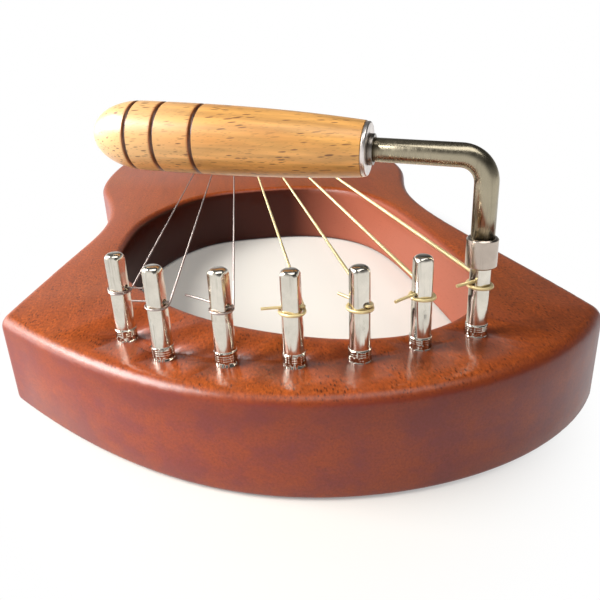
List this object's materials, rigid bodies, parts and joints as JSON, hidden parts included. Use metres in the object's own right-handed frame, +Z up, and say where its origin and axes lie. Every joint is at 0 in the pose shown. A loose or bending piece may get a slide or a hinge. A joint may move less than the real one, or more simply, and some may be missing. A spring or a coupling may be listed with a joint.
{
  "type": "lyre",
  "caption": "Hand-held wooden lyre with a slanted yoke, tuning pins, wound and plain metal strings, bridge and sound box, with an L-shaped tuning wrench seated on a pin.",
  "frame": {"origin": "middle of the back of the whole object, on the axis of the sound box", "axes": "+Y from the yoke to the tail, +X to the right as seen from the yoke with the strings up, +Z up from the back to the strings"},
  "size_m": [0.1916, 0.3941, 0.0934],
  "materials": {
    "mahogany": "satin lacquer over stained mahogany",
    "mahogany_board": "satin lacquered plywood",
    "spruce": "bare planed wood",
    "maple": "bare planed wood",
    "rosewood": "oiled dark wood",
    "bone": "polished bone",
    "brass": "bright brass",
    "screw_steel": "zinc-plated steel",
    "nickel_plate": "bright nickel plate",
    "plain_steel_string": "plain steel wire",
    "wound_bronze_string": "phosphor bronze winding on steel",
    "satin_nickel": "satin nickel plate",
    "beech": "clear-lacquered beech with burnt lines",
    "cap_steel": "brushed steel",
    "dark_steel": "oxide-black steel"
  },
  "bodies": {
    "root": {"body": "mahogany", "back_board": "mahogany_board", "brace_front": "spruce", "brace_tail": "spruce", "bridge": "rosewood", "bridge_plate": "maple", "bridge_screws": "screw_steel", "saddle": "bone", "string_ball_ends": "brass", "string_1": "plain_steel_string", "string_2": "plain_steel_string", "string_3": "plain_steel_string", "string_4": "wound_bronze_string", "string_5": "wound_bronze_string", "string_6": "wound_bronze_string", "string_7": "wound_bronze_string"},
    "pin_1": {"tuning_pin_1": "nickel_plate", "string_1_winding": "plain_steel_string"},
    "pin_2": {"tuning_pin_2": "nickel_plate", "string_2_winding": "plain_steel_string"},
    "pin_3": {"tuning_pin_3": "nickel_plate", "string_3_winding": "plain_steel_string"},
    "pin_4": {"tuning_pin_4": "nickel_plate", "string_4_winding": "wound_bronze_string"},
    "pin_5": {"tuning_pin_5": "nickel_plate", "string_5_winding": "wound_bronze_string"},
    "pin_6": {"tuning_pin_6": "nickel_plate", "string_6_winding": "wound_bronze_string"},
    "pin_7": {"tuning_pin_7": "nickel_plate", "string_7_winding": "wound_bronze_string"},
    "wrench": {"wrench_rod": "satin_nickel", "wrench_socket": "satin_nickel", "wrench_handle": "beech", "wrench_cap": "cap_steel", "wrench_collar": "dark_steel"}
  },
  "joints": [
    {"name": "pin_1_turn", "type": "hinge", "parent": "root", "child": "pin_1", "pos_m": [-0.0492, -0.153, 0.03], "axis": [0, 0, 1], "range_deg": [-360, 360]},
    {"name": "pin_2_turn", "type": "hinge", "parent": "root", "child": "pin_2", "pos_m": [-0.0376, -0.1672, 0.03], "axis": [0, 0, 1], "range_deg": [-360, 360]},
    {"name": "pin_3_turn", "type": "hinge", "parent": "root", "child": "pin_3", "pos_m": [-0.0209, -0.1739, 0.03], "axis": [0, 0, 1], "range_deg": [-360, 360]},
    {"name": "pin_4_turn", "type": "hinge", "parent": "root", "child": "pin_4", "pos_m": [-0.0034, -0.1781, 0.03], "axis": [0, 0, 1], "range_deg": [-360, 360]},
    {"name": "pin_5_turn", "type": "hinge", "parent": "root", "child": "pin_5", "pos_m": [0.0137, -0.1787, 0.03], "axis": [0, 0, 1], "range_deg": [-360, 360]},
    {"name": "pin_6_turn", "type": "hinge", "parent": "root", "child": "pin_6", "pos_m": [0.031, -0.1748, 0.03], "axis": [0, 0, 1], "range_deg": [-360, 360]},
    {"name": "pin_7_turn", "type": "hinge", "parent": "root", "child": "pin_7", "pos_m": [0.0482, -0.1704, 0.03], "axis": [0, 0, 1], "range_deg": [-360, 360]},
    {"name": "wrench_lift", "type": "slide", "parent": "pin_7", "child": "wrench", "axis": [0, 0, 1], "range_m": [0, 0.03]}
  ]
}
